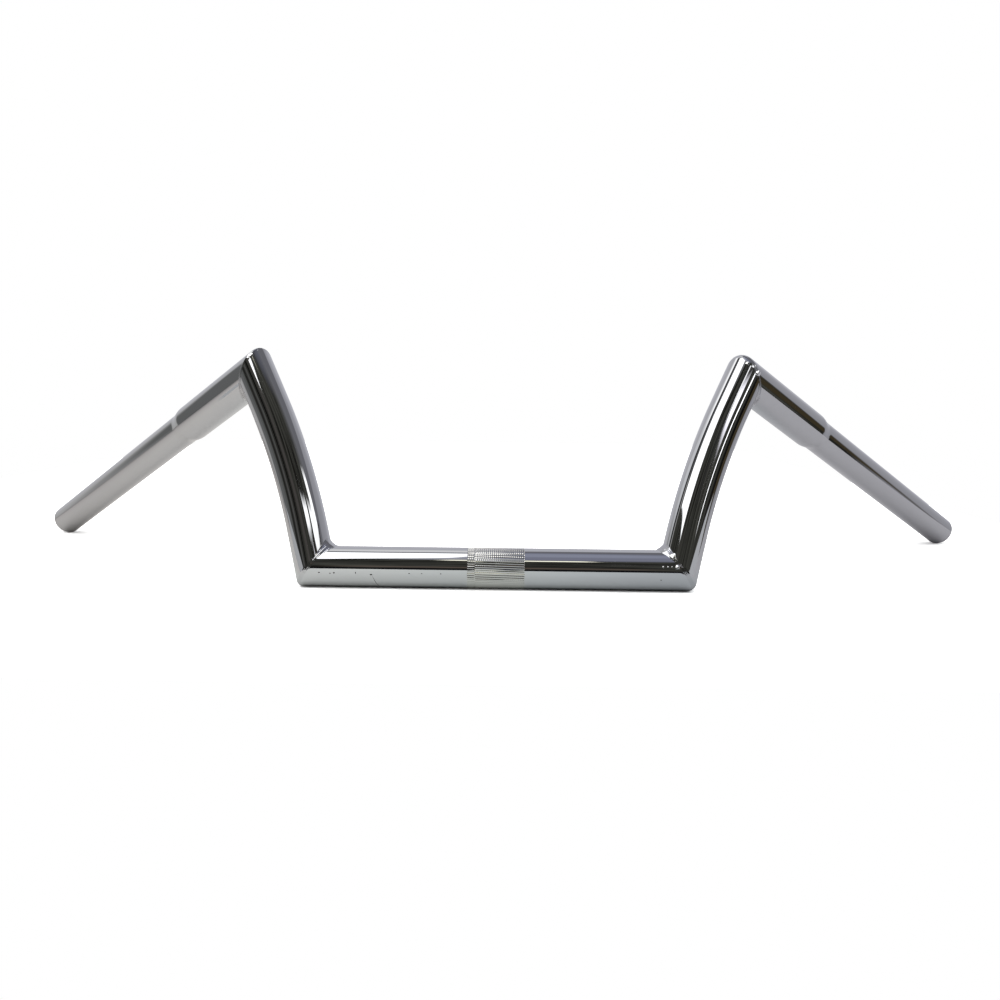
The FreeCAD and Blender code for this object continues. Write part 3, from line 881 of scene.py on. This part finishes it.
def spatter_rows(point, normal, radius, height):
    """A bead as rings that widen with t from its crown.

    The height is height (1 - t^2) as far as t = 1, and a last ring sinks as a skirt into the plate.
    """
    normal = unit(np.array(normal))
    first = unit(np.cross((0.0, 0.0, 1.0), normal))
    second = np.cross(normal, first)
    t = np.append(np.linspace(0.04, 1.0, BEAD_RINGS), 1.06)[:, None]
    turn = np.linspace(0.0, 2 * np.pi, BEAD_AROUND, endpoint=False)[None, :]
    wide = radius * MM * t * (1.0 + 0.12 * np.sin(3 * turn + point[0]))
    rise = np.where(t > 1.0, -BEAD_SKIRT * radius, height * (1 - t ** 2)) * MM
    rise = np.broadcast_to(rise, wide.shape)
    spoke = np.cos(turn)[..., None] * first + np.sin(turn)[..., None] * second
    rows = np.array(point) * MM + rise[..., None] * normal + wide[..., None] * spoke
    return rows, np.broadcast_to(t * radius * MM, wide.shape)


class HANDLEBAR_OT_spatter(Operator):
    """Set the plated beads of spatter and the small dressed flats beside the welds."""

    bl_idname = "handlebar.spatter"
    bl_label = "Weld spatter"

    def execute(self, context):
        finish = context.scene.bar_finish
        # the spatter's pale plate is a painted highlight that makes the beads glint
        material = weld_material("spatter_chrome", finish.spatter, finish)
        for number, bead in enumerate(SPATTER):
            rows, along = spatter_rows(*bead)
            place_piece(ring_mesh(f"weld_spatter_{number}", rows, along), material, ())
        return {"FINISHED"}


def edge(value, soft):
    """0 to 1 across an edge that is soft wide, centred on value = 0."""
    return (value / soft + 0.5).clamped()


class Sky:
    """Directions of the world, for placing what the plate reflects.

    Azimuth is 0 on the camera's side and grows to the right, elevation is above the horizon, both
    in degrees.
    """

    def __init__(self, board):
        self.direction = board.add("ShaderNodeTexCoord", None, None, "Generated")
        x, y, z = board.parts(self.direction)
        self.x = x
        self.azimuth = x.math("ARCTAN2", x, 0.0 - y) * math.degrees(1.0)
        self.elevation = x.math("ARCSINE", z) * math.degrees(1.0)

    def card(self, middle, half, tilt, soft):
        """1 inside a rectangle: its middle, half sizes, tilt in degrees and soft edge."""
        u, v = turned(self.azimuth - middle[0], self.elevation - middle[1], tilt)
        return edge(half[0] - abs(u), soft) * edge(half[1] - abs(v), soft)


WALLS = (
    # azimuth and tone of the pale walls all round
    (-180.0, (0.64, 0.64, 0.69)),
    (-150.0, (0.64, 0.64, 0.68)),
    (-112.0, (0.53, 0.525, 0.515)),
    (0.0, (0.30, 0.30, 0.31)),
    (80.0, (0.20, 0.20, 0.21)),
    (100.0, (0.38, 0.38, 0.41)),
    (135.0, (0.47, 0.47, 0.51)),
    (150.0, (0.60, 0.60, 0.65)),
    (180.0, (0.64, 0.64, 0.69)),
)
CARDS = (
    # lights and dark screens: middle and half sizes in azimuth and elevation, tilt, soft edge, tone
    ((19.0, 38.8), (12.0, 1.3), 7.0, 1.6, (2.0, 2.0, 2.0)),
    ((59.0, 37.6), (19.0, 2.2), -5.0, 2.0, (2.0, 2.0, 2.0)),
    ((69.0, 39.5), (8.0, 3.4), -10.0, 2.0, (2.0, 2.0, 2.0)),
    ((28.3, 31.4), (9.5, 1.2), -29.5, 1.4, (2.3, 2.25, 2.4)),
    ((0.5, 52.6), (7.0, 2.2), 0.0, 1.6, (1.9, 1.85, 1.5)),
    ((-158.0, 66.0), (19.0, 8.0), 0.0, 5.0, (0.97, 0.97, 0.97)),
    ((-119.0, 30.0), (11.0, 10.0), 0.0, 9.0, (0.84, 0.85, 0.88)),
    ((-115.0, 45.0), (8.0, 8.0), 0.0, 7.0, (1.6, 1.6, 1.6)),
    ((-103.5, 38.0), (5.0, 15.0), 6.0, 3.0, (0.02, 0.02, 0.02)),
    ((-1.0, 11.5), (9.0, 3.2), 0.0, 3.0, (0.14, 0.11, 0.09)),
    ((-22.0, 30.0), (9.0, 5.0), -25.0, 4.0, (0.085, 0.078, 0.072)),
    ((-40.5, 22.0), (3.0, 9.0), 0.0, 3.0, (0.004, 0.004, 0.004)),
    ((-54.0, 15.5), (4.0, 8.0), 0.0, 5.0, (0.11, 0.11, 0.105)),
    ((-65.0, 10.0), (2.5, 8.0), 0.0, 3.0, (0.02, 0.02, 0.02)),
    ((-77.0, 4.0), (4.0, 9.0), 0.0, 5.0, (0.14, 0.145, 0.14)),
    ((92.0, -3.0), (9.0, 8.0), 0.0, 5.0, (0.06, 0.047, 0.026)),
)


def reflected_room(board, studio):
    """What polished plate sees: pale walls behind, a dim room in front, light from above."""
    sky = Sky(board)
    az, el = sky.azimuth, sky.elevation
    dim = tuple(studio.room)
    clutter = board.noise(board.stretched(sky.direction, (9.0, 9.0, 2.5)), 1.0, 3.0, 0.6)
    streaked = board.mix((clutter * 3.0 - 1.0).clamped(), toned(dim, 0.15), toned(dim, 1.7))
    stops = [(at / 360.0 + 0.5, tone) for at, tone in WALLS]
    walls = board.add("ShaderNodeValToRGB", {"stops": stops}, {0: az / 360.0 + 0.5})

    # the dim front, which reaches further right and ends more sharply near the floor
    low = edge(12.0 - el, 6.0)
    right_end = 70.0 + low * (29.5 + el * 0.4)
    right_soft = 34.0 - low * 31.0
    front = edge(93.0 + az, 5.0) * edge(right_end - az, right_soft)
    room = board.mix(front, walls, streaked)

    # a darker slanted part of the right wall
    dusk = edge(106.0 + (el - 33.0) * 2.9 - az, 9.0)
    dusk = dusk * edge(az - 80.0, 24.0) * edge(el - 26.0, 8.0)
    room = board.mix(dusk, room, (0.20, 0.20, 0.22))

    # the ceiling, slate on the right and pale on the left, which stops short of the wall behind
    overhead = edge(el - 56.0 - edge(az - 18.0, 12.0) * 2.0, 8.0)
    slate = board.mix(edge(el - 78.0, 8.0), (0.27, 0.28, 0.36), (0.36, 0.38, 0.48))
    ceiling = board.mix(edge(-0.06 - sky.x, 0.08), slate, (0.75, 0.76, 0.80))
    behind = edge(abs(az) - 90.0, 40.0) * edge(72.0 - el, 14.0)
    room = board.mix(overhead * (1.0 - behind), room, ceiling)

    # a black skirting along the front
    room = board.mix(front * edge(4.0 - abs(el - 1.0), 3.0), room, (0.004, 0.004, 0.005))

    # a darker low part of the left wall, above a slanted edge
    slope = edge(el + 16.5 + (az + 90.0) * 0.95, 9.0)
    left_part = slope * edge(az + 127.0, 5.0) * edge(-80.0 - az, 8.0) * edge(22.0 - el, 12.0)
    room = board.mix(left_part, room, (0.165, 0.168, 0.166))
    for middle, half, tilt, soft, tone in CARDS:
        room = board.mix(sky.card(middle, half, tilt, soft), room, tone)
    return room


def light_world(studio):
    """White behind the bar for the camera, the room in reflections, even light for the rest."""
    world = bpy.data.worlds.new("studio")
    world.use_nodes = True
    board = Board(world.node_tree)
    room = reflected_room(board, studio)
    mirrored = board.ray("Glossy") | board.ray("Transmission")
    light = board.mix(mirrored, [studio.ambient] * 3, room)
    light = board.mix(board.ray("Camera"), light, (1.0, 1.0, 1.0))
    shader = board.add("ShaderNodeBackground", None, {"Color": light, "Strength": 1.0})
    board.add("ShaderNodeOutputWorld", None, {"Surface": shader})
    bpy.context.scene.world = world


PAPER_PAINTED_LIGHT = (
    # place across the paper in millimetres and the share of the paper's tone that reflections show:
    # painted light and shade, lighter in the middle, darker to the right and at the far left
    (-640.0, (0.34, 0.33, 0.32)),
    (-480.0, (0.76, 0.72, 0.70)),
    (-330.0, (0.93, 0.90, 0.86)),
    (-220.0, (0.94, 0.92, 0.89)),
    (-110.0, (1.08, 1.10, 1.06)),
    (-30.0, (0.98, 1.02, 0.99)),
    (40.0, (0.88, 0.925, 0.925)),
    (120.0, (0.72, 0.755, 0.78)),
    (230.0, (0.76, 0.75, 0.78)),
    (465.0, (0.75, 0.74, 0.78)),
)


def paper_material(studio):
    """Pale paper with a faint tooth, lifted to white where the camera sees it unshaded.

    Reflections see it with painted light and shade across the paper, and with a painted shadow as a dark
    line where the centre tube rests.
    """
    material, board = plate_material("paper")
    place = board.add("ShaderNodeTexCoord", None, None, "Object")
    tooth = board.noise(place, 60.0, 3.0)
    across, deep, _ = board.parts(place)
    tone = board.mix(tooth * 0.08, studio.paper, toned(studio.paper, 0.94))
    reach = studio.paper_left + studio.paper_right
    # painted light and shade: the paper's tone that reflections see, changing across the paper
    stops = [((at * MM + studio.paper_left) / reach, toned(tones, PAPER_MIRRORED))
             for at, tones in PAPER_PAINTED_LIGHT]
    place_across = (across + studio.paper_left) / reach
    reflected_painted_light = board.add("ShaderNodeValToRGB", {"stops": stops}, {0: place_across})
    # painted contact shadow: a dark line on the paper under the centre tube, seen by all rays but the
    # camera's
    beside = ((abs(deep) - CONTACT_HALF) / CONTACT_FADE).clamped()
    beyond = ((abs(across) - CONTACT_REACH) / CONTACT_END_FADE).clamped()
    reflected_painted_light = board.mix(beside | beyond, [CONTACT_SHADOW_TONE] * 3, reflected_painted_light)
    tone = board.mix(board.ray("Camera"), reflected_painted_light, board.stretched(tone, [PAPER_LIFT] * 3))
    paper = board.add("ShaderNodeBsdfDiffuse", None, {"Color": tone})
    board.add("ShaderNodeOutputMaterial", None, {"Surface": paper})
    return material


def lay_paper(studio, height):
    """A flat grid of paper: x and y on even steps, z constant."""
    x = np.linspace(-studio.paper_left, studio.paper_right, PAPER_GRID)
    y = np.linspace(-studio.paper_front, studio.paper_back, PAPER_GRID)
    grid = np.stack(np.meshgrid(x, y), axis=-1).reshape(-1, 2)
    points = np.concatenate((grid, np.full((len(grid), 1), height)), axis=1)
    index = np.arange(PAPER_GRID * PAPER_GRID).reshape(PAPER_GRID, PAPER_GRID)
    quads = np.stack((index[:-1, :-1], index[:-1, 1:], index[1:, 1:], index[1:, :-1]), axis=-1)
    mesh = bpy.data.meshes.new("paper_floor")
    mesh.from_pydata(points, [], quads.reshape(-1, 4).tolist())
    mesh.materials.append(paper_material(studio))
    floor = link_object("paper_floor", mesh)


def lying(height, *corners):
    """Corners of a level panel at a height, from their x and y."""
    return [(x, y, height) for x, y in corners]


def standing(across, *corners):
    """Corners of an upright panel at one side, from their y and z."""
    return [(across, y, z) for y, z in corners]


PANELS = (
    # name, tone, soft share of the outline, corners in millimetres
    ("window", (2.2, 2.2, 2.2), 0.05,
     lying(700.0, (-425.0, -720.0), (-262.0, -568.0), (-66.0, -290.0), (10.0, 90.0), (-850.0, -60.0))),
    ("rail", (0.11, 0.11, 0.12), 0.03,
     lying(699.0, (-760.0, 45.0), (10.0, 92.0), (10.0, 150.0), (-760.0, 130.0))),
    ("screen", (0.04, 0.04, 0.038), 0.08,
     lying(200.0, (158.0, -12.0), (138.0, -230.0), (180.0, -230.0), (177.0, -12.0))),
    ("shade", (0.045, 0.045, 0.04), 0.1,
     lying(200.0, (60.0, -280.0), (170.0, -280.0), (170.0, -234.0), (60.0, -234.0))),
    ("strip", (3.2, 3.2, 3.2), 0.35,
     standing(340.0, (-62.0, 176.0), (-78.0, 204.0), (-204.0, 116.0), (-196.0, 104.0))),
    ("right_card", (0.60, 0.61, 0.63), 0.06,
     standing(331.0, (-190.0, -12.0), (15.0, -12.0), (15.0, 42.0), (-190.0, 50.0))),
    ("left_card", (0.55, 0.56, 0.57), 0.1,
     standing(-331.0, (-130.0, -12.0), (40.0, -12.0), (40.0, 25.0), (-130.0, 40.0))),
)


def hang_panel(name, tone, soft, corners):
    """A flat panel that only reflections see.

    Its outline is drawn twice, the second time drawn in towards the middle by the soft share. The
    panel glows inside the inner outline and fades to nothing at the outer one.
    """
    outer = np.array(corners) * MM
    middle = outer.mean(axis=0)
    inner = middle + (outer - middle) * (1.0 - soft)
    count = len(outer)
    first = np.arange(count)
    after = np.roll(first, -1)
    rim = np.stack((first, after, after + count, first + count), axis=-1)
    mesh = bpy.data.meshes.new(name)
    mesh.from_pydata(np.concatenate((outer, inner)), [], rim.tolist() + [(first + count).tolist()])
    layer = mesh.attributes.new("glow", "FLOAT", "POINT")
    layer.data.foreach_set("value", np.repeat((0.0, 1.0), count).astype(np.float32))

    material, board = plate_material(name)
    mask = board.add("ShaderNodeAttribute", {"attribute_name": "glow"}, None, "Fac")
    glow = board.add("ShaderNodeEmission", None, {"Color": rgba(tone), "Strength": 1.0})
    clear = board.add("ShaderNodeBsdfTransparent")
    mixed = board.add("ShaderNodeMixShader", None, {0: mask, 1: clear, 2: glow})
    board.add("ShaderNodeOutputMaterial", None, {"Surface": mixed})
    mesh.materials.append(material)
    panel = link_object(name, mesh)
    panel.visible_camera = panel.visible_diffuse = panel.visible_shadow = False


def hang_softbox():
    """A large soft lamp high in front, a little to the left, for the shadows on the paper."""
    lamp = bpy.data.lights.new("softbox", "AREA")
    lamp.shape = "RECTANGLE"
    lamp.size = 1.2
    lamp.size_y = 0.9
    lamp.energy = 8.0
    lamp_object = link_object("softbox", lamp)
    lamp_object.location = (-0.15, -0.55, 1.1)
    lamp_object.rotation_euler = (math.radians(26.0), math.radians(-8.0), 0.0)
    lamp_object.visible_glossy = False
    lamp_object.visible_camera = False


def set_camera(studio):
    """Camera with its right, up and backward directions from pitch, yaw and roll."""
    pitch, yaw, roll = studio.camera_pitch, studio.camera_yaw, studio.camera_roll
    ahead = np.array((math.sin(yaw) * math.cos(pitch), math.cos(yaw) * math.cos(pitch), -math.sin(pitch)))
    level = np.array((math.cos(yaw), -math.sin(yaw), 0.0))
    upright = np.cross(level, ahead)
    right = math.cos(roll) * level + math.sin(roll) * upright
    up = math.cos(roll) * upright - math.sin(roll) * level
    camera = bpy.data.cameras.new("camera")
    camera.sensor_width = 36.0
    camera.lens = studio.lens
    camera.clip_start = 0.01
    camera_object = link_object("camera", camera)
    columns = np.column_stack((right, up, -ahead, np.array(studio.camera_place)))
    camera_object.matrix_world = Matrix(np.vstack((columns, (0.0, 0.0, 0.0, 1.0))).tolist())
    bpy.context.scene.camera = camera_object


class HANDLEBAR_OT_stage(Operator):
    """Lay the paper, light the studio and set the camera."""

    bl_idname = "handlebar.stage"
    bl_label = "Stage"

    def execute(self, context):
        studio = context.scene.bar_studio
        lay_paper(studio, CAD_BOX[0].z)
        light_world(studio)
        for panel in PANELS:
            hang_panel(*panel)
        hang_softbox()
        set_camera(studio)
        context.scene.view_settings.view_transform = "Standard"
        return {"FINISHED"}


OPERATORS = (
    HANDLEBAR_OT_stage,
    HANDLEBAR_OT_centre_tube,
    HANDLEBAR_OT_knurl,
    HANDLEBAR_OT_risers,
    HANDLEBAR_OT_grip_tubes,
    HANDLEBAR_OT_welds,
    HANDLEBAR_OT_spatter,
)


class HANDLEBAR_PT_pieces(Panel):
    """Sidebar list of the bar's pieces."""

    bl_label = "Handlebar"
    bl_idname = "HANDLEBAR_PT_pieces"
    bl_space_type = "VIEW_3D"
    bl_region_type = "UI"
    bl_category = "Handlebar"

    def draw(self, context):
        for operator in OPERATORS:
            self.layout.operator(operator.bl_idname)
        for group in (context.scene.bar_sizes, context.scene.bar_finish, context.scene.bar_studio):
            box = self.layout.box()
            for name in group.bl_rna.properties.keys():
                if name not in {"rna_type", "name"}:
                    box.prop(group, name)


CLASSES = (BarSizes, BarFinish, Studio, *OPERATORS, HANDLEBAR_PT_pieces)
GROUPS = {"bar_sizes": BarSizes, "bar_finish": BarFinish, "bar_studio": Studio}


def register():
    for item in CLASSES:
        bpy.utils.register_class(item)
    for name, group in GROUPS.items():
        setattr(bpy.types.Scene, name, PointerProperty(type=group))


def unregister():
    for name in GROUPS:
        delattr(bpy.types.Scene, name)
    for item in reversed(CLASSES):
        bpy.utils.unregister_class(item)


def main():
    register()
    bpy.ops.handlebar.stage()
    bpy.ops.handlebar.centre_tube()
    bpy.ops.handlebar.knurl()
    bpy.ops.handlebar.risers()
    bpy.ops.handlebar.grip_tubes()
    bpy.ops.handlebar.welds()
    bpy.ops.handlebar.spatter()


if __name__ == "__main__":
    main()
